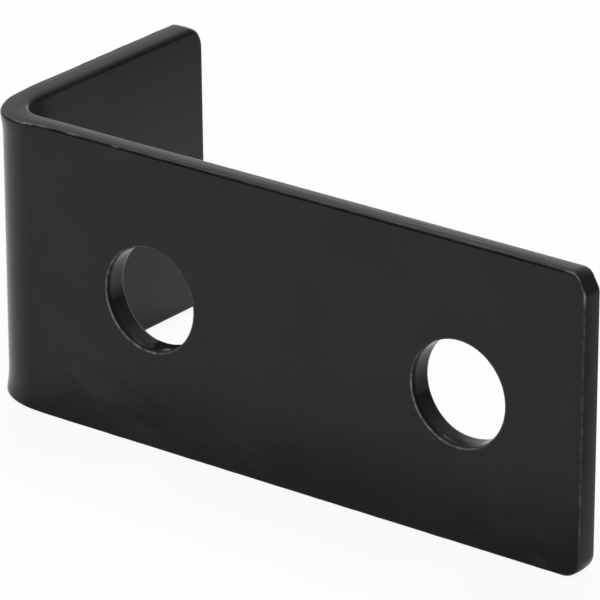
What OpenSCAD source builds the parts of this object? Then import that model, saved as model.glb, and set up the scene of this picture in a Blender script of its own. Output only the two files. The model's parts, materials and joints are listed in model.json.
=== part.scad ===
// Corner brace: one strip of steel, punched, folded square and painted black.
// It stands on its long edges, with the fold upright and the free ends towards +X and +Y.

/* [Strip] */
// Width of the strip, which is the height of the standing brace
strip_w = 38.1; // [26:0.1:80]
// Thickness of the painted strip
strip_t = 3.4; // [2.4:0.1:6]
// Rounding of the sheared edges on the outer face, the side where the burr was
edge_out_r = 0.28; // [0.1:0.02:0.5]
// Rounding of the sheared edges on the inner face, which the blade rolled over
edge_in_r = 0.64; // [0.2:0.02:0.9]
// Radius of the crown across the sheared edges, from face to face
crown_r = 11; // [5:0.5:30]

/* [Legs] */
// Length of the long leg, from the outer face of the short leg to its free end
long_leg = 90.5; // [82:0.5:200]
// Length of the short leg, from the outer face of the long leg to its free end
short_leg = 40.8; // [36:0.1:120]
// Radius of the corners at the free ends
corner_r = 2.5; // [1.6:0.1:8]

/* [Fold] */
// Radius on the inside of the fold
bend_r = 4.4; // [2:0.1:8]

/* [Bolt holes] */
// Diameter of the holes
hole_d = 13.4; // [8:0.1:18]
// Rounding of the hole rims on the outer face
rim_out_r = 0.12; // [0.06:0.02:0.5]
// Rounding of the hole rims on the inner face, where the punch went in
rim_in_r = 0.28; // [0.1:0.02:0.6]
// From the long leg's free end to the middle of its outer hole
long_hole_end = 17.7; // [12:0.1:24]
// Between the middles of the two holes in the long leg
hole_pitch = 46; // [24:0.5:52]
// How far the long leg's hole beside the fold was punched above the middle of the strip
fold_hole_rise = 0.4; // [0:0.1:2]
// From the short leg's free end to the middle of its hole
short_hole_end = 17.7; // [12:0.1:22]

/* [Hidden] */
$fn = 96;
paint = [0.17, 0.17, 0.175];
// Radius on the outside of the fold
outer_r = bend_r + strip_t;
// How far the hole cutters run past the faces of the strip
overrun = 1;
// How far the crown leans where it meets the rounding on the outer and on the inner face
out_lean = asin((strip_t / 2 - edge_out_r) / (crown_r - edge_out_r));
in_lean = asin((strip_t / 2 - edge_in_r) / (crown_r - edge_in_r));
// How far the middles of those roundings lie inside the edge
out_back = crown_r - (crown_r - edge_out_r) * cos(out_lean);
in_back = crown_r - (crown_r - edge_in_r) * cos(in_lean);
// Hole middles: along the leg from the outer face that it meets at the fold, and above the middle of the strip
fold_hole = [long_leg - long_hole_end - hole_pitch, fold_hole_rise];
end_hole = [long_leg - long_hole_end, 0];
short_hole = [short_leg - short_hole_end, 0];

// Section through a sheared edge, as deep as the corners: it faces +X and ends at x = 0, with the
// thickness along y from the outer face. Two roundings run into the crown without a break.
module edge_section() {
    out_mid = [-out_back, edge_out_r];
    in_mid = [-in_back, strip_t - edge_in_r];
    out_ray = edge_out_r * [cos(out_lean), -sin(out_lean)];
    in_ray = edge_in_r * [cos(in_lean), sin(in_lean)];
    polygon([
        [-corner_r, 0],
        [-out_back, 0],
        out_mid,
        in_mid,
        [-in_back, strip_t],
        [-corner_r, strip_t],
    ]);
    intersection() {
        translate([-crown_r, strip_t / 2])
            rotate(180)
                circle(r = crown_r);
        polygon([
            out_mid - out_ray / 2,
            out_mid + 2 * out_ray,
            in_mid + 2 * in_ray,
            in_mid - in_ray / 2,
        ]);
    }
    translate(out_mid)
        circle(r = edge_out_r);
    translate(in_mid)
        circle(r = edge_in_r);
}

// Cross-section of the strip: thickness along x from the outer face, width along y
module strip_section() {
    translate([0, corner_r])
        square([strip_t, strip_w - 2 * corner_r]);
    translate([0, strip_w])
        mirror([1, -1])
            edge_section();
    mirror([0, 1])
        mirror([1, -1])
            edge_section();
}

// Last stretch of the strip before a free end: length along x, thickness along y from the outer face
module end_section() {
    translate([corner_r, 0])
        edge_section();
}

// One corner of a free end, a quarter turn about an axis through the thickness
module end_corner(start) {
    rotate([-90, 0, 0])
        rotate_extrude(angle = 90, start = start)
            end_section();
}

// Flat leg along +X with its outer face on y = 0, from the fold to its rounded free end
module leg(length) {
    straight = length - corner_r;
    translate([outer_r, 0, 0])
        rotate([90, 0, 90])
            linear_extrude(straight - outer_r)
                strip_section();
    translate([straight, 0, corner_r])
        linear_extrude(strip_w - 2 * corner_r)
            end_section();
    translate([straight, 0, corner_r])
        end_corner(0);
    translate([straight, 0, strip_w - corner_r])
        end_corner(270);
}

// Quarter turn of the strip that joins the legs
module fold() {
    translate([outer_r, outer_r, 0])
        rotate_extrude(angle = 90, start = 180)
            translate([outer_r, 0])
                mirror([1, 0])
                    strip_section();
}

// Flare of a hole cutter that rounds one rim, for the face on y = 0
module rim_profile(rim_r) {
    difference() {
        translate([0, -overrun])
            square([hole_d / 2 + rim_r, overrun + rim_r]);
        translate([hole_d / 2 + rim_r, rim_r])
            circle(r = rim_r);
    }
}

// Cutter for one hole along +Y, with both rims rounded
module hole_cutter() {
    rotate([-90, 0, 0])
        rotate_extrude() {
            translate([0, -overrun])
                square([hole_d / 2, strip_t + 2 * overrun]);
            rim_profile(rim_out_r);
            translate([0, strip_t])
                mirror([0, 1])
                    rim_profile(rim_in_r);
        }
}

// One hole of a leg that lies along +X
module leg_hole(place) {
    translate([place[0], 0, strip_w / 2 + place[1]])
        hole_cutter();
}

// The whole brace, with the middle of its bounding box over the origin
module brace() {
    color(paint)
        translate([-long_leg / 2, -short_leg / 2, 0])
            difference() {
                union() {
                    leg(long_leg);
                    fold();
                    mirror([1, -1, 0])
                        leg(short_leg);
                }
                leg_hole(fold_hole);
                leg_hole(end_hole);
                mirror([1, -1, 0])
                    leg_hole(short_hole);
            }
}

brace();
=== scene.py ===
"""Corner brace: a steel strip folded square into a long and a short leg, painted black.

Lengths are in millimetres, and MM turns them into metres where a mesh is made.
A point of the strip has three strip coordinates: s along the strip from the long
leg's free end, round the fold to the short leg's free end; z across the strip; and
n below its outer face, which is the face on the outside of the fold.
"""
import json
import math

import bmesh
import bpy
import numpy as np
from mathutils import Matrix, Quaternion, Vector, noise
from mathutils.geometry import delaunay_2d_cdt


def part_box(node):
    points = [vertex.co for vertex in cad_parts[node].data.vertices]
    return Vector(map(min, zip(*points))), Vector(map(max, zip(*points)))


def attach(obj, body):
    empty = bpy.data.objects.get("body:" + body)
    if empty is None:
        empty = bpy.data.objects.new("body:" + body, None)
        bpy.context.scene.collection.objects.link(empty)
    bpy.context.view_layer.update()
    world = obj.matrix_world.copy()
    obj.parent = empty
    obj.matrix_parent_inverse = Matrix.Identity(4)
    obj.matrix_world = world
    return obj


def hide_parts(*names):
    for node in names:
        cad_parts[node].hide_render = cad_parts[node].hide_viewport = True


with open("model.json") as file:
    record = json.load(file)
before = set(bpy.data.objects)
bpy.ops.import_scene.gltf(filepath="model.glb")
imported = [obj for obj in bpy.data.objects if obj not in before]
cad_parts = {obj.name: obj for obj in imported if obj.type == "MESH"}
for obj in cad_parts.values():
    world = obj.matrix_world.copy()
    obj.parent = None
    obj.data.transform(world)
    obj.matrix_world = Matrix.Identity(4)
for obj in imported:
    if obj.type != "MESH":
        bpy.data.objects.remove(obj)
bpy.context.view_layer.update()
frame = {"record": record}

MM = 0.001

# Sizes that the frame gives
LOW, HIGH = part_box("brace")
MOUNTS = {mount["name"]: mount for mount in frame["record"]["mounts"]}
LONG_LEG = (HIGH.x - LOW.x) / MM
SHORT_LEG = (HIGH.y - LOW.y) / MM
WIDTH = (HIGH.z - LOW.z) / MM
OUTER_FACE = MOUNTS["long_leg_outer_face"]["pos_m"][1]
INNER_FACE = MOUNTS["long_leg_inner_face"]["pos_m"][1]
THICK = (INNER_FACE - OUTER_FACE) / MM
HOLE_R = MOUNTS["long_leg_outer_hole"]["dims"]["r_mm"]

# Form of the strip, as in the part's source
BEND_R = 4.4
CROWN_R = 11.0
EDGE_OUT_R = 0.28
EDGE_IN_R = 0.64
RIM_OUT_R = 0.12
RIM_IN_R = 0.28

# Form that the shears and the press leave; a noise is (size of its features, shift)
EDGE_SLANT = math.radians(1.5)
BURR_H = 0.04
BURR_NOISE = (2.2, 3.1)
BURR_POWER = 1.5
FOLD_LIP = 0.30
FOLD_LIP_DEEP = 1.9
FOLD_LIP_FADE = 3.0
FOLD_LIP_LESS = 0.8
FOLD_SINK = 0.45
FOLD_LEAN = math.radians(0.57)

# Corners of the strip: three are rounded, and the long leg's upper one is cut off and rounded a little
CORNER = (2.5, 2.5)
SHORT_HIGH_CORNER = (2.5, 3.1)
CUT_CORNER = (1.4, 2.5)
CUT_CORNER_R = 1.7

# Places where the strip's outer edge is rubbed bare, as (s, z, reach, amount); those at the cut corner also
# paint the overhead lamp's highlight there
RUBBED_AND_HIGHLIT_SPOTS = (
    (82.8, WIDTH, 1.5, 1.0),
    (80.2, WIDTH, 0.8, 0.5),
    (75.8, WIDTH, 0.6, 0.5),
    (69.0, WIDTH, 0.5, 0.4),
    # These three, at the cut corner, are chips and a painted highlight of the overhead lamp
    (2.2, WIDTH, 0.7, 0.9),
    (1.3, WIDTH - 0.9, 0.5, 0.5),
    (0.3, WIDTH - 2.8, 0.8, 1.0),
    (1.7, 0.3, 0.6, 0.8),
    (0.0, 10.3, 0.4, 0.3),
    (0.0, 6.3, 0.4, 0.3),
)

# Faint wear along the whole edge and at the ends, and where in the section its line lies
FAINT_RUB = 0.10
RUB_NOISE = (1.5, 8.3)
END_RUB = 0.16
RUB_AT_TOP = 0.34
RUB_AT = 0.18
RUB_WIDE = 0.13

# Wear of the holes' outer rims all round, and a painted highlight in the bare colour towards one side,
# given in s and z
RIM_RUB = 0.40
RIM_RUB_NOISE = (0.9, 5.7)
RIM_RUB_LEAST = 0.4
RIM_RUB_UNEVEN = 1.2
RIM_RUB_AT = 0.07
RIM_RUB_WIDE = 0.08
# A painted highlight in the bare colour on one side of each rim: how strong, towards which side, and how
# narrow
RIM_HIGHLIGHT_MOST = 1.6
RIM_HIGHLIGHT_TOWARDS = (0.77, -0.64)
RIM_HIGHLIGHT_SHARP = 4.0

# Paint that pools at the bottom of each hole
POOL_H = {"long_leg_inner_hole": 0.14, "long_leg_outer_hole": 0.22, "short_leg_hole": 0.2}
POOL_WIDE = 0.5
POOL_RISE = 0.5
POOL_FALL = 0.12

# Fineness of the mesh
EDGE_STEP = 0.5
CORNER_STEPS = 16
FILLET_STEPS = 10
CROWN_STEPS = 20
WALL_STEPS = 14
HOLE_STEPS = 144
FOLD_STEPS = 36
GUARD = 0.2
FACE_STEP = 3.0
NEAR_EDGE = (0.3, 0.6, 1.0, 1.5, 2.1, 2.8, 3.7, 5.0)
ROW_CLEAR = 1.0
HOLE_CLEAR = 0.4
SAME_POINT = 1e-6
FILL_INSIDE = 1

OUTER_R = BEND_R + THICK
LONG_FLAT = LONG_LEG - OUTER_R
SHORT_FLAT = SHORT_LEG - OUTER_R
FOLD_LONG = math.pi / 2 * (BEND_R + THICK / 2)
STRIP = LONG_FLAT + FOLD_LONG + SHORT_FLAT
FOLD_MIDDLE = (LONG_FLAT + FOLD_LONG / 2, WIDTH / 2)

# Camera
CAMERA_AT = (0.38711, -0.52293, 0.28073)
CAMERA_AZIMUTH = 37.290
CAMERA_ELEVATION = 22.030
CAMERA_ROLL = 0.158
CAMERA_LENS = 345.63
CAMERA_SENSOR = 36.0
CAMERA_CLIP = (0.05, 50.0)


def make_camera():
    """The photograph's camera, which looks down at the outer face of the long leg."""
    data = bpy.data.cameras.new("camera")
    data.lens = CAMERA_LENS
    data.sensor_width = CAMERA_SENSOR
    data.clip_start, data.clip_end = CAMERA_CLIP
    camera = bpy.data.objects.new("camera", data)
    bpy.context.collection.objects.link(camera)
    turn = math.radians(CAMERA_AZIMUTH)
    lift = math.radians(CAMERA_ELEVATION)
    back = Vector((math.sin(turn) * math.cos(lift), -math.cos(turn) * math.cos(lift), math.sin(lift)))
    camera.location = CAMERA_AT
    camera.rotation_mode = "QUATERNION"
    roll = Quaternion((0, 0, 1), math.radians(CAMERA_ROLL))
    camera.rotation_quaternion = back.to_track_quat("Z", "Y") @ roll
    bpy.context.scene.camera = camera


def hole_places():
    """The middle of each hole as (name, s, z)."""
    places = []
    for name, mount in MOUNTS.items():
        if mount["kind"] != "bore":
            continue
        x, y, z = mount["pos_m"]
        if name.startswith("long"):
            s = (HIGH.x - x) / MM
        else:
            s = STRIP - (HIGH.y - y) / MM
        places.append((name, s, (z - LOW.z) / MM))
    return places


def fade(value):
    """A smooth step from 0 to 1."""
    value = np.clip(value, 0.0, 1.0)
    return value * value * (3 - 2 * value)


def fold_points(s, z, n):
    """Points in metres of strip points, with the lip that folding raises at the strip's edges."""
    near = np.minimum(z, WIDTH - z)
    s, z = turned(s, z, FOLD_MIDDLE, FOLD_LEAN)
    turn = np.clip((s - LONG_FLAT) / FOLD_LONG, 0, 1) * math.pi / 2
    before = np.minimum(s - LONG_FLAT, 0)
    after = np.maximum(s - LONG_FLAT - FOLD_LONG, 0)
    in_fold = fade((s - LONG_FLAT + FOLD_LIP_FADE) / (FOLD_LONG / 2 + FOLD_LIP_FADE))
    in_fold *= fade((LONG_FLAT + FOLD_LONG + FOLD_LIP_FADE - s) / (FOLD_LONG / 2 + FOLD_LIP_FADE))
    at_edge = np.exp(-((near / FOLD_LIP_DEEP) ** 2)) * in_fold
    lip = FOLD_LIP * at_edge * (1 - FOLD_LIP_LESS * n / THICK)
    sink = FOLD_SINK * at_edge * (1 - n / THICK)
    radius = OUTER_R - n + lip
    x = OUTER_R - radius * np.sin(turn) - before
    y = OUTER_R - radius * np.cos(turn) + after
    height = np.where(z > WIDTH / 2, z - sink, z + sink)
    x, height = turned(x, height, (LONG_LEG - FOLD_MIDDLE[0], FOLD_MIDDLE[1]), FOLD_LEAN)
    points = np.stack([x + LOW.x / MM, y + LOW.y / MM, height + LOW.z / MM], axis=1)
    return points * MM


def turned(across, up, middle, angle):
    """Points of a plane after a turn about a middle point."""
    far, high = across - middle[0], up - middle[1]
    return (
        middle[0] + far * math.cos(angle) - high * math.sin(angle),
        middle[1] + far * math.sin(angle) + high * math.cos(angle),
    )


def corner_arcs():
    """The strip's corner arcs in turn, as (middle, reach along and across, first and last angle)."""
    quarter = math.pi / 2
    cut_turn = math.atan2(CUT_CORNER[1], CUT_CORNER[0])
    cut_start = CUT_CORNER[0] + CUT_CORNER_R * math.tan(cut_turn / 2)
    cut_end = CUT_CORNER[1] + CUT_CORNER_R * math.tan((quarter - cut_turn) / 2)
    cut_reach = (CUT_CORNER_R, CUT_CORNER_R)
    short_high = (STRIP - SHORT_HIGH_CORNER[0], WIDTH - SHORT_HIGH_CORNER[1])
    return [
        ((STRIP - CORNER[0], CORNER[1]), CORNER, -quarter, 0),
        (short_high, SHORT_HIGH_CORNER, 0, quarter),
        ((cut_start, WIDTH - CUT_CORNER_R), cut_reach, quarter, quarter + cut_turn),
        ((CUT_CORNER_R, WIDTH - cut_end), cut_reach, quarter + cut_turn, 2 * quarter),
        (CORNER, CORNER, 2 * quarter, 3 * quarter),
    ]


def outline():
    """The strip's outline as points (s, z) and the directions that point out of the strip there."""
    corners = []
    for middle, reach, first, last in corner_arcs():
        angles = np.linspace(first, last, CORNER_STEPS + 1)
        rays = np.stack([np.cos(angles), np.sin(angles)], axis=1)
        across = rays / np.array(reach)
        corners.append((middle + rays * reach, across / np.linalg.norm(across, axis=1)[:, None]))
    points = []
    outward = []
    for (corner, directions), (following, _) in zip(corners, corners[1:] + corners[:1]):
        points += list(corner)
        outward += list(directions)
        steps = max(1, round(math.dist(corner[-1], following[0]) / EDGE_STEP))
        for k in range(1, steps):
            points.append(corner[-1] + (following[0] - corner[-1]) * k / steps)
            outward.append(directions[-1])
    return np.array(points), np.array(outward)


def hole_outline(s, z):
    """A hole's outline, and the directions from the metal into the hole."""
    angles = 2 * math.pi * np.arange(HOLE_STEPS) / HOLE_STEPS
    rays = np.stack([np.cos(angles), np.sin(angles)], axis=1)
    return np.array([s, z]) + HOLE_R * rays, -rays


def edge_profile():
    """The section of a sheared edge as rows (out, n, along).

    It is rounded, crowned and rounded again, and slants a little. out is how far a point stands
    out of the outline, and along is the length of the section up to it.
    """

    def rounding(radius):
        lean = math.asin((THICK / 2 - radius) / (CROWN_R - radius))
        middle = -CROWN_R + (CROWN_R - radius) * math.cos(lean)
        rows = [(middle - GUARD, 0.0)]
        for k in range(FILLET_STEPS + 1):
            angle = (math.pi / 2 - lean) * k / FILLET_STEPS
            rows.append((middle + radius * math.sin(angle), radius - radius * math.cos(angle)))
        return lean, rows

    out_lean, out_rows = rounding(EDGE_OUT_R)
    in_lean, in_rows = rounding(EDGE_IN_R)
    rows = out_rows
    for k in range(1, CROWN_STEPS):
        angle = -out_lean + (out_lean + in_lean) * k / CROWN_STEPS
        rows.append((-CROWN_R + CROWN_R * math.cos(angle), THICK / 2 + CROWN_R * math.sin(angle)))
    rows += [(out, THICK - n) for out, n in reversed(in_rows)]
    rows = [(out + (THICK / 2 - n) * math.tan(EDGE_SLANT), n) for out, n in rows]
    return with_length(rows)


def hole_profile():
    """The section of a hole's wall, as edge_profile gives it: a rim, a straight wall and a rim."""

    def rim(radius):
        rows = [(-radius - GUARD, 0.0)]
        for k in range(FILLET_STEPS + 1):
            angle = math.pi / 2 * k / FILLET_STEPS
            rows.append((-radius + radius * math.sin(angle), radius - radius * math.cos(angle)))
        return rows

    rows = rim(RIM_OUT_R)
    for k in range(1, WALL_STEPS):
        rows.append((0.0, RIM_OUT_R + (THICK - RIM_OUT_R - RIM_IN_R) * k / WALL_STEPS))
    rows += [(out, THICK - n) for out, n in reversed(rim(RIM_IN_R))]
    return with_length(rows)


def with_length(rows):
    """The rows (out, n) with the section's length up to each, counted from where the outer face ends."""
    rows = np.array(rows)
    steps = np.hypot(*np.diff(rows, axis=0).T)
    along = np.concatenate([[0.0], np.cumsum(steps)]) - GUARD
    return np.column_stack([rows, along])


def near_line(profile, at, wide):
    """How near each row of a profile is to a line along the edge, from 0 to 1, as rows by points."""
    return np.exp(-(((profile[:, 2][:, None] - at) / wide) ** 2))


def rubbed_and_highlit(points, outward):
    """How far the paint is rubbed off the strip's outer edge at each point of the outline, from 0 to 1; at
    the cut corner it is also a painted highlight.
    """
    amount = FAINT_RUB * uneven(points, *RUB_NOISE) + END_RUB * np.abs(outward[:, 0])
    for s, z, reach, most in RUBBED_AND_HIGHLIT_SPOTS:
        away = np.hypot(points[:, 0] - s, points[:, 1] - z)
        amount += most * np.exp(-((away / reach) ** 2))
    return np.clip(amount, 0.0, 1.0)


def rim_rubbed_and_highlit(points, outward):
    """How far a hole's outer rim shows the bare colour: paint rubbed off all round, and a painted highlight
    on one side.
    """
    # This one-sided part is a painted highlight, where the lamps' highlight falls on the rim
    most = np.exp((-outward @ np.array(RIM_HIGHLIGHT_TOWARDS) - 1) * RIM_HIGHLIGHT_SHARP)
    patchy = RIM_RUB_LEAST + RIM_RUB_UNEVEN * uneven(points, *RIM_RUB_NOISE)
    return np.clip((RIM_RUB + RIM_HIGHLIGHT_MOST * most) * patchy, 0.0, 1.0)


def uneven(points, size, shift):
    """Smooth noise from 0 to 1 along an outline, with features about size long."""
    values = [noise.noise(Vector((s / size + shift, z / size, shift))) for s, z in points]
    return np.clip(0.5 + np.array(values), 0.0, 1.0)


class Strip:
    """Collects the strip's points and faces, in strip coordinates, until the mesh is made."""

    def __init__(self):
        self.points = []
        self.edge = []
        self.wall = []
        self.faces = []

    def add(self, s, z, n, edge, wall):
        first = len(self.points)
        self.points += list(zip(s, z, n))
        self.edge += list(edge)
        self.wall += list(wall)
        return first

    def sweep(self, points, outward, profile, raised, worn_and_highlit, wall):
        """Runs a profile round an outline, and gives the first point of its outer and of its inner ring."""
        count = len(points)
        rings = []
        for (out, n, _), row_raised, row_worn_and_highlit, row_wall in zip(profile, raised, worn_and_highlit, wall):
            s, z = (points + outward * (out + row_raised)[:, None]).T
            rings.append(self.add(s, z, np.full(count, n), row_worn_and_highlit, np.full(count, row_wall)))
        for ring, above in zip(rings, rings[1:]):
            for k in range(count):
                k2 = (k + 1) % count
                self.faces.append((ring + k, ring + k2, above + k2, above + k))
        return rings[0], rings[-1]

    def fill(self, rings, inside, n):
        """Fills a face between its rings of points with triangles, using the points inside it."""
        index = []
        flat = []
        edges = []
        ring_of = []
        for ring, (first, count) in enumerate(rings):
            start = len(flat)
            for k in range(count):
                index.append(first + k)
                flat.append(Vector(self.points[first + k][:2]))
                edges.append((start + k, start + (k + 1) % count))
                ring_of.append(ring)
        s, z = np.array(inside).T
        zero = np.zeros(len(inside))
        first = self.add(s, z, np.full(len(inside), n), zero, zero)
        index += range(first, first + len(inside))
        flat += [Vector(point) for point in inside]
        ring_of += [0] * len(inside)
        made = delaunay_2d_cdt(flat, edges, [], FILL_INSIDE, SAME_POINT)
        triangles, source = made[2], made[3]
        for triangle in triangles:
            corners = [source[k][0] for k in triangle]
            in_one_hole = ring_of[corners[0]] and len({ring_of[k] for k in corners}) == 1
            if not in_one_hole:
                self.faces.append(tuple(index[k] for k in corners))


def near_hole(point, margin):
    """Whether a point (s, z) lies in a hole or within a margin of one."""
    return any(math.hypot(point[0] - s, point[1] - z) < HOLE_R + margin for _, s, z in hole_places())


def face_points():
    """Points inside a face: rows that are close together in the fold and near the strip's edges."""
    margin = EDGE_IN_R + GUARD
    across = [margin + d for d in NEAR_EDGE]
    across += list(np.arange(across[-1] + FACE_STEP, WIDTH / 2 - ROW_CLEAR, FACE_STEP))
    across += [WIDTH / 2] + [WIDTH - z for z in reversed(across)]
    fold_start = LONG_FLAT - FOLD_LIP_FADE
    fold_end = LONG_FLAT + FOLD_LONG + FOLD_LIP_FADE
    along = list(np.arange(FACE_STEP + margin, fold_start - ROW_CLEAR, FACE_STEP))
    along += list(np.linspace(fold_start, fold_end, FOLD_STEPS * 2 + 1))
    along += list(np.arange(fold_end + FACE_STEP, STRIP - FACE_STEP - margin / 2, FACE_STEP))
    clear = RIM_IN_R + GUARD + HOLE_CLEAR
    return [(s, z) for s in along for z in across if not near_hole((s, z), clear)]


def pool(name, points, profile, middle):
    """How far the paint at the bottom of a hole stands in from the bore, for each row of the profile."""
    away = points - np.array(middle)
    angle = np.arctan2(away[:, 0], -away[:, 1])
    spread = np.exp(-((angle / POOL_WIDE) ** 2))
    depth = np.clip(profile[:, 1] / THICK, 0, 1)
    across = fade(depth / POOL_RISE) * fade((1 - depth) / POOL_FALL)
    return POOL_H[name] * across[:, None] * spread[None, :]


def build_brace():
    """The folded strip as one closed mesh."""
    strip = Strip()
    outer_rings = []
    inner_rings = []
    profile = edge_profile()
    points, outward = outline()
    burr = BURR_H * uneven(points, *BURR_NOISE) ** BURR_POWER
    rub_at = RUB_AT + (RUB_AT_TOP - RUB_AT) * np.clip(outward[:, 1], 0.0, 1.0)
    line = near_line(profile, rub_at, RUB_WIDE)
    no_wall = np.zeros(len(profile))
    worn_and_highlit = line * rubbed_and_highlit(points, outward)
    first, last = strip.sweep(points, outward, profile, line * burr, worn_and_highlit, no_wall)
    outer_rings.append((first, len(points)))
    inner_rings.append((last, len(points)))
    wall_profile = hole_profile()
    on_wall = fade((wall_profile[:, 0] + RIM_OUT_R) / RIM_OUT_R)
    for name, s, z in hole_places():
        points, outward = hole_outline(s, z)
        raised = pool(name, points, wall_profile, (s, z)) * on_wall[:, None]
        # On the rims the bare colour is wear all round and a painted highlight on one side
        worn_and_highlit = near_line(wall_profile, RIM_RUB_AT, RIM_RUB_WIDE) * rim_rubbed_and_highlit(points, outward)
        first, last = strip.sweep(points, outward, wall_profile, raised, worn_and_highlit, on_wall)
        outer_rings.append((first, len(points)))
        inner_rings.append((last, len(points)))
    inside = face_points()
    strip.fill(outer_rings, inside, 0.0)
    strip.fill(inner_rings, inside, THICK)

    s, z, n = np.array(strip.points).T
    mesh = bpy.data.meshes.new("brace_strip")
    mesh.from_pydata(fold_points(s, z, n).tolist(), [], strip.faces)
    put_attribute(mesh, "edge", "FLOAT", "value", strip.edge)
    put_attribute(mesh, "wall", "FLOAT", "value", strip.wall)
    put_attribute(mesh, "strip", "FLOAT_VECTOR", "vector", np.array(strip.points).ravel())
    work = bmesh.new()
    work.from_mesh(mesh)
    bmesh.ops.recalc_face_normals(work, faces=work.faces)
    work.to_mesh(mesh)
    work.free()
    mesh.shade_smooth()
    brace = bpy.data.objects.new("brace_strip", mesh)
    bpy.context.collection.objects.link(brace)
    return brace


def put_attribute(mesh, name, kind, field, values):
    """Stores one value or vector for each point of a mesh."""
    attribute = mesh.attributes.new(name, kind, "POINT")
    attribute.data.foreach_set(field, np.array(values, dtype=np.float32))


class Nodes:
    """A short way to write a node tree."""

    RANGE = ("Value", "From Min", "From Max", "To Min", "To Max")

    def __init__(self, tree):
        self.tree = tree
        self.tree.nodes.clear()

    def add(self, kind, settings=None, **inputs):
        node = self.tree.nodes.new(kind)
        for name, value in (settings or {}).items():
            setattr(node, name, value)
        for name, value in inputs.items():
            self.put(node, name.replace("_", " "), value)
        return node

    def put(self, node, name, value):
        socket = node.inputs[int(name)] if name.isdigit() else node.inputs[name]
        if isinstance(value, bpy.types.NodeSocket):
            self.tree.links.new(value, socket)
        else:
            socket.default_value = value

    def math(self, operation, first, second=0.0):
        node = self.add("ShaderNodeMath", {"operation": operation})
        self.put(node, "0", first)
        self.put(node, "1", second)
        return node.outputs[0]

    def span(self, value, low, high, start=0.0, end=1.0):
        """Maps low..high smoothly onto start..end."""
        node = self.add("ShaderNodeMapRange", {"interpolation_type": "SMOOTHSTEP"})
        for name, number in zip(self.RANGE, (value, low, high, start, end)):
            self.put(node, name, number)
        return node.outputs[0]

    def mix(self, factor, first, second):
        """A colour between two colours."""
        node = self.add("ShaderNodeMix", {"data_type": "RGBA"})
        self.put(node, "0", factor)
        self.put(node, "6", first)
        self.put(node, "7", second)
        return node.outputs[2]

    def noise(self, vector, scale, detail, rough):
        node = self.add("ShaderNodeTexNoise", None, Vector=vector, Scale=scale, Detail=detail)
        self.put(node, "Roughness", rough)
        return node.outputs["Fac"]


# Paint
PAINT = (0.0078, 0.0076, 0.0074, 1)
PAINT_WORN_THIN = (0.0125, 0.0122, 0.0118, 1)
PAINT_SMEARED = (0.0215, 0.0217, 0.0275, 1)
# Bare steel of worn edges; the same colour paints highlights on the holes' rims and at the cut corner
BARE_EDGE_AND_HIGHLIGHT = (0.31, 0.295, 0.262, 1)
SPECK = (0.040, 0.040, 0.039, 1)
PAINT_IOR = 1.33

# Noises of the paint, as (scale, detail, roughness)
CLOUD = (0.07, 4.0, 0.55)
GRAIN = (3.0, 2.0, 0.6)
PEEL = (0.55, 3.0, 0.5)
FLECKS = (1.3, 3.0, 0.65)

# What the noises do: a span is (from low, from high, to low, to high)
FLECK_WEAR = (0.35, 0.62, 0.35, 1.0)
CLOUD_THIN = (0.35, 0.7)
CLOUD_ROUGH = (0.3, 0.7, 0.17, 0.22)
GRAIN_ROUGH = 0.05
WALL_SMOOTHER = 0.07
PEEL_H = 0.004
GRAIN_H = 0.0012

# Specks of dust: how close they lie, and from where to where they fade
SPECK_SCALE = 0.4
SPECK_SIZE = (0.025, 0.065)

# Matt paint: on each hole's wall, down to a depth below the outer face, and inside the fold
MATT_DEPTH = (0.4, 1.1)
MATT_FOLD = (0.35 * FOLD_LONG, 0.95 * FOLD_LONG)
MATT_ROUGHER = 0.30
MATT_LESS_SHINE = 0.42
SHINE = 0.5

# Lines that the shears leave along the cut edges, and the punch on the holes' walls
SHEAR_LINES = (0.08, 0.08, 1.5)
PUNCH_LINES = (1.2, 1.2, 0.2)
LINES_NOISE = (1.0, 3.0, 0.6)
LINES_H = 0.045

# Smears on the outer face of the long leg, as (s, z, reach along, reach across, amount)
SMEARS = (
    (69.5, 5.5, 14.0, 6.5, 1.0),
    (50.0, 3.5, 6.0, 2.5, 0.6),
    (29.4, 29.5, 5.0, 1.6, 0.4),
    (55.0, 29.5, 4.0, 2.0, 0.4),
    (10.5, 6.5, 4.5, 4.0, 0.5),
    (4.5, 4.0, 3.0, 3.0, 0.4),
    (5.8, 0.9, 2.0, 1.1, 1.0),
)
SMEAR_DEEP = 0.5
SMEAR_SLANT = math.radians(18)
SMEAR_STREAKS = (8.0, 2.6, 2.0)
SMEAR_NOISE = (1.0, 4.0, 0.6)
SMEAR_WIPED = (0.40, 0.60)
SMEAR_FADE = (0.3, 1.0)


def slanted(nodes, place, middle, size):
    """A place measured from a middle point along the slant of the smears, in units of size."""
    node = nodes.add("ShaderNodeMapping", {"vector_type": "TEXTURE"}, Vector=place, Location=middle)
    nodes.put(node, "Rotation", (0, 0, SMEAR_SLANT))
    nodes.put(node, "Scale", size)
    return node.outputs[0]


def smears(nodes, place):
    """Where the paint is smeared, from 0 to 1: wiped streaks in a few places."""
    streaks = slanted(nodes, place, (0, 0, 0), SMEAR_STREAKS)
    wiped = nodes.span(nodes.noise(streaks, *SMEAR_NOISE), *SMEAR_WIPED)
    covered = 0.0
    for s, z, along, across, amount in SMEARS:
        far = nodes.add("ShaderNodeVectorMath", {"operation": "LENGTH"})
        nodes.put(far, "0", slanted(nodes, place, (s, z, 0), (along, across, SMEAR_DEEP)))
        patch = nodes.span(far.outputs["Value"], *SMEAR_FADE, amount, 0.0)
        covered = nodes.math("MAXIMUM", covered, patch)
    return nodes.math("MULTIPLY", covered, wiped)


def specks(nodes, place):
    """How far off the nearest speck of dust is."""
    return nodes.add("ShaderNodeTexVoronoi", None, Vector=place, Scale=SPECK_SCALE).outputs["Distance"]


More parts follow.
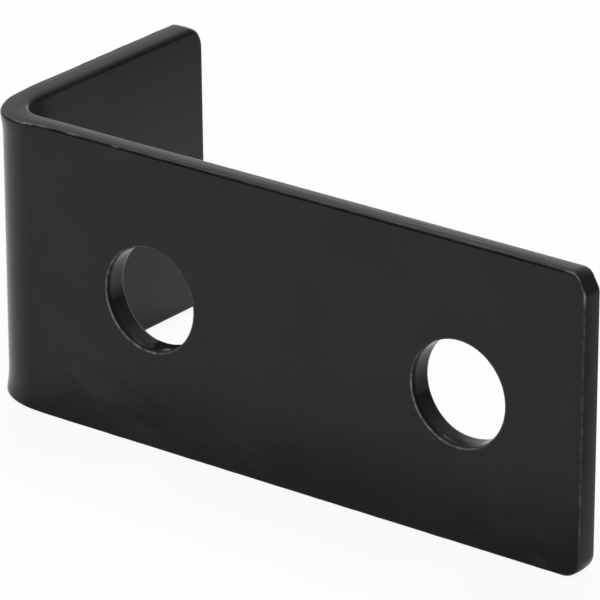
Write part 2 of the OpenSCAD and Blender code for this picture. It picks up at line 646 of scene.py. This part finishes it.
def matt_places(nodes, place, wall):
    """Where the paint is matt, from 0 to 1."""
    along, _, depth = nodes.add("ShaderNodeSeparateXYZ", None, Vector=place).outputs
    on_wall = nodes.math("MULTIPLY", wall, nodes.span(depth, *MATT_DEPTH, 1.0, 0.0))
    off_fold = nodes.math("ABSOLUTE", nodes.math("SUBTRACT", along, FOLD_MIDDLE[0]))
    in_fold = nodes.span(off_fold, *MATT_FOLD, 1.0, 0.0)
    inside = nodes.span(depth, THICK - EDGE_IN_R / 2, THICK)
    return nodes.math("MAXIMUM", on_wall, nodes.math("MULTIPLY", in_fold, inside))


def drawn_out(nodes, place, stretch):
    """Noise that is drawn out into lines."""
    node = nodes.add("ShaderNodeMapping", None, Vector=place, Scale=stretch)
    return nodes.noise(node.outputs[0], *LINES_NOISE)


def cut_lines(nodes, place, wall):
    """The height of the lines that the shears and the punch leave, from 0 to 1."""
    depth = nodes.add("ShaderNodeSeparateXYZ", None, Vector=place).outputs["Z"]
    off_outer = nodes.span(depth, 0.0, EDGE_OUT_R)
    off_inner = nodes.span(depth, THICK - EDGE_IN_R, THICK, 1.0, 0.0)
    on_cut = nodes.math("MULTIPLY", off_outer, off_inner)
    sheared = drawn_out(nodes, place, SHEAR_LINES)
    punched = drawn_out(nodes, place, PUNCH_LINES)
    on_wall = nodes.math("MULTIPLY", wall, nodes.math("SUBTRACT", punched, sheared))
    return nodes.math("MULTIPLY", on_cut, nodes.math("ADD", sheared, on_wall))


def paint_material():
    """Semi-gloss black paint on steel, worn thin along the edges, with painted highlights in the bare
    colour on one side of each hole's rim and at the cut corner.
    """
    material = bpy.data.materials.new("black_paint_worn_and_highlit")
    material.use_nodes = True
    nodes = Nodes(material.node_tree)
    place = nodes.add("ShaderNodeAttribute", {"attribute_name": "strip"}).outputs["Vector"]
    edge = nodes.add("ShaderNodeAttribute", {"attribute_name": "edge"}).outputs["Fac"]
    wall = nodes.add("ShaderNodeAttribute", {"attribute_name": "wall"}).outputs["Fac"]

    cloud = nodes.noise(place, *CLOUD)
    grain = nodes.noise(place, *GRAIN)
    peel = nodes.noise(place, *PEEL)
    flecks = nodes.noise(place, *FLECKS)

    worn_and_highlit = nodes.math("MULTIPLY", edge, nodes.span(flecks, *FLECK_WEAR))
    tone = nodes.mix(nodes.span(cloud, *CLOUD_THIN), PAINT, PAINT_WORN_THIN)
    tone = nodes.mix(smears(nodes, place), tone, PAINT_SMEARED)
    tone = nodes.mix(nodes.span(specks(nodes, place), *SPECK_SIZE, 1.0, 0.0), tone, SPECK)
    # The bare colour shows worn edges and, on one side of the holes' rims and at the cut corner, painted
    # highlights
    colour = nodes.mix(worn_and_highlit, tone, BARE_EDGE_AND_HIGHLIGHT)

    rough = nodes.span(cloud, *CLOUD_ROUGH)
    grainy = nodes.math("MULTIPLY", nodes.math("SUBTRACT", grain, 0.5), GRAIN_ROUGH)
    rough = nodes.math("ADD", rough, grainy)
    rough = nodes.math("SUBTRACT", rough, nodes.math("MULTIPLY", wall, WALL_SMOOTHER))
    matt = matt_places(nodes, place, wall)
    rough = nodes.math("ADD", rough, nodes.math("MULTIPLY", matt, MATT_ROUGHER))
    shine = nodes.math("SUBTRACT", SHINE, nodes.math("MULTIPLY", matt, MATT_LESS_SHINE))

    height = nodes.math("ADD", nodes.math("MULTIPLY", peel, PEEL_H), nodes.math("MULTIPLY", grain, GRAIN_H))
    height = nodes.math("ADD", height, nodes.math("MULTIPLY", cut_lines(nodes, place, wall), LINES_H))
    bump = nodes.add("ShaderNodeBump", None, Strength=1.0, Distance=MM, Height=height)
    shader = nodes.add("ShaderNodeBsdfPrincipled", None, Base_Color=colour, Roughness=rough)
    nodes.put(shader, "Normal", bump.outputs[0])
    nodes.put(shader, "Specular IOR Level", shine)
    shader.inputs["IOR"].default_value = PAINT_IOR
    out = nodes.add("ShaderNodeOutputMaterial")
    nodes.tree.links.new(shader.outputs[0], out.inputs["Surface"])
    return material


# Floor: its own pale colour, the grey of a painted shade where the light falls off towards the right, and
# where one turns into the other, in metres, and then the share of plain white that the camera and the
# paint's gloss see instead
FLOOR_LEFT = (0.90, 0.90, 0.90, 1)
FLOOR_PAINTED_SHADE = (0.36, 0.36, 0.36, 1)
FLOOR_SHADE_TOWARDS = (0.95, 0.30, 0.0)
FLOOR_SHADE_TURNS = (0.0, 0.08)
FLOOR_SHOWN = 0.92
FLOOR_MIRRORED = 0.10
FLOOR_HALF = 4.0
FLOOR_BELOW = 0.00002

# Room
ROOM_LIGHT = 0.06
ROOM_COLOUR = (1.0, 0.985, 0.955, 1)

# Lamps, as (direction, metres away, metres wide, watts)
KEY_LAMP = ((0.39, -0.41, 0.75), 1.1, 0.40, 5.8)
TOP_LAMP = ((-0.16, 0.34, 0.93), 1.2, 0.45, 7.5)

# White sweep that stands behind the fold: its direction, how far it reaches round and up, and its light
SWEEP_TOWARDS = (-0.602, 0.799, 0.0)
SWEEP_SIDE = (0.40, 0.92)
SWEEP_TOP = (0.275, 0.785)
SWEEP_LIGHT = 0.58

# Soft lights far round the brace, as (degrees from +X towards +Y, degrees up, sharpness, level)
SOFT_LIGHTS = {
    "back_high": (90, 45, 10.0, 0.45),
    "back_low": (112, 7, 45.0, 0.95),
    "back_right": (36, 26, 12.0, 0.20),
}


def floor_material():
    """A floor that is pale on the left and greyed on the right by a painted shade, and that the camera sees
    as white.

    The gloss of the paint sees mostly the floor's colour, the painted shade included, with the object's
    shadow on it.
    """
    material = bpy.data.materials.new("floor_paper")
    material.use_nodes = True
    nodes = Nodes(material.node_tree)
    path = nodes.add("ShaderNodeLightPath")
    seen = nodes.math("MAXIMUM", path.outputs["Is Camera Ray"], path.outputs["Is Transmission Ray"])
    seen = nodes.math("MULTIPLY", seen, FLOOR_SHOWN)
    mirrored = nodes.math("MULTIPLY", path.outputs["Is Glossy Ray"], FLOOR_MIRRORED)
    along = nodes.add("ShaderNodeVectorMath", {"operation": "DOT_PRODUCT"})
    nodes.put(along, "0", nodes.add("ShaderNodeNewGeometry").outputs["Position"])
    nodes.put(along, "1", FLOOR_SHADE_TOWARDS)
    # Greyer towards the right: a painted shade where the light falls off
    colour = nodes.mix(nodes.span(along.outputs["Value"], *FLOOR_SHADE_TURNS), FLOOR_LEFT, FLOOR_PAINTED_SHADE)
    paper = nodes.add("ShaderNodeBsdfDiffuse", None, Color=colour)
    white = nodes.add("ShaderNodeEmission", None, Color=(1, 1, 1, 1), Strength=1.0)
    mixed = nodes.add("ShaderNodeMixShader")
    nodes.put(mixed, "0", nodes.math("MAXIMUM", seen, mirrored))
    nodes.put(mixed, "1", paper.outputs[0])
    nodes.put(mixed, "2", white.outputs[0])
    out = nodes.add("ShaderNodeOutputMaterial")
    nodes.tree.links.new(mixed.outputs[0], out.inputs["Surface"])
    return material


def make_floor():
    """A wide floor just under the brace."""
    mesh = bpy.data.meshes.new("floor")
    signs = ((-1, -1), (1, -1), (1, 1), (-1, 1))
    corners = [(x * FLOOR_HALF, y * FLOOR_HALF, 0) for x, y in signs]
    mesh.from_pydata(corners, [], [(0, 1, 2, 3)])
    mesh.materials.append(floor_material())
    floor = bpy.data.objects.new("floor", mesh)
    floor.location.z = LOW.z - FLOOR_BELOW
    bpy.context.collection.objects.link(floor)


def make_world():
    """A dim room with a white sweep and soft lights, each of them brightest in its middle."""
    world = bpy.data.worlds.new("studio")
    world.use_nodes = True
    bpy.context.scene.world = world
    nodes = Nodes(world.node_tree)
    direction = nodes.add("ShaderNodeTexCoord").outputs["Generated"]
    up_part = nodes.add("ShaderNodeSeparateXYZ", None, Vector=direction).outputs["Z"]
    facing = nodes.add("ShaderNodeVectorMath", {"operation": "DOT_PRODUCT"})
    nodes.put(facing, "0", direction)
    nodes.put(facing, "1", SWEEP_TOWARDS)
    beside = nodes.span(facing.outputs["Value"], *SWEEP_SIDE)
    paper = nodes.span(up_part, *SWEEP_TOP, SWEEP_LIGHT, 0.0)
    total = nodes.math("ADD", nodes.math("MULTIPLY", beside, paper), ROOM_LIGHT)
    for around, up, sharpness, level in SOFT_LIGHTS.values():
        turn, lift = math.radians(around), math.radians(up)
        towards = (math.cos(lift) * math.cos(turn), math.cos(lift) * math.sin(turn), math.sin(lift))
        facing = nodes.add("ShaderNodeVectorMath", {"operation": "DOT_PRODUCT"})
        nodes.put(facing, "0", direction)
        nodes.put(facing, "1", towards)
        away = nodes.math("SUBTRACT", facing.outputs["Value"], 1.0)
        lobe = nodes.math("EXPONENT", nodes.math("MULTIPLY", away, sharpness))
        total = nodes.math("ADD", total, nodes.math("MULTIPLY", lobe, level))
    back = nodes.add("ShaderNodeBackground", None, Color=ROOM_COLOUR, Strength=total)
    out = nodes.add("ShaderNodeOutputWorld")
    nodes.tree.links.new(back.outputs[0], out.inputs["Surface"])


def make_lamp(name, direction, far, wide, power):
    """A square soft lamp that faces the brace."""
    data = bpy.data.lights.new(name, "AREA")
    data.size = wide
    data.energy = power
    lamp = bpy.data.objects.new(name, data)
    towards = Vector(direction).normalized()
    lamp.location = towards * far
    lamp.rotation_mode = "QUATERNION"
    lamp.rotation_quaternion = towards.to_track_quat("Z", "Y")
    bpy.context.collection.objects.link(lamp)


make_camera()
make_world()
make_floor()
make_lamp("key", *KEY_LAMP)
make_lamp("top", *TOP_LAMP)
bpy.context.scene.view_settings.view_transform = "Standard"

brace = build_brace()
brace.data.materials.append(paint_material())
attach(brace, "root")
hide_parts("brace")
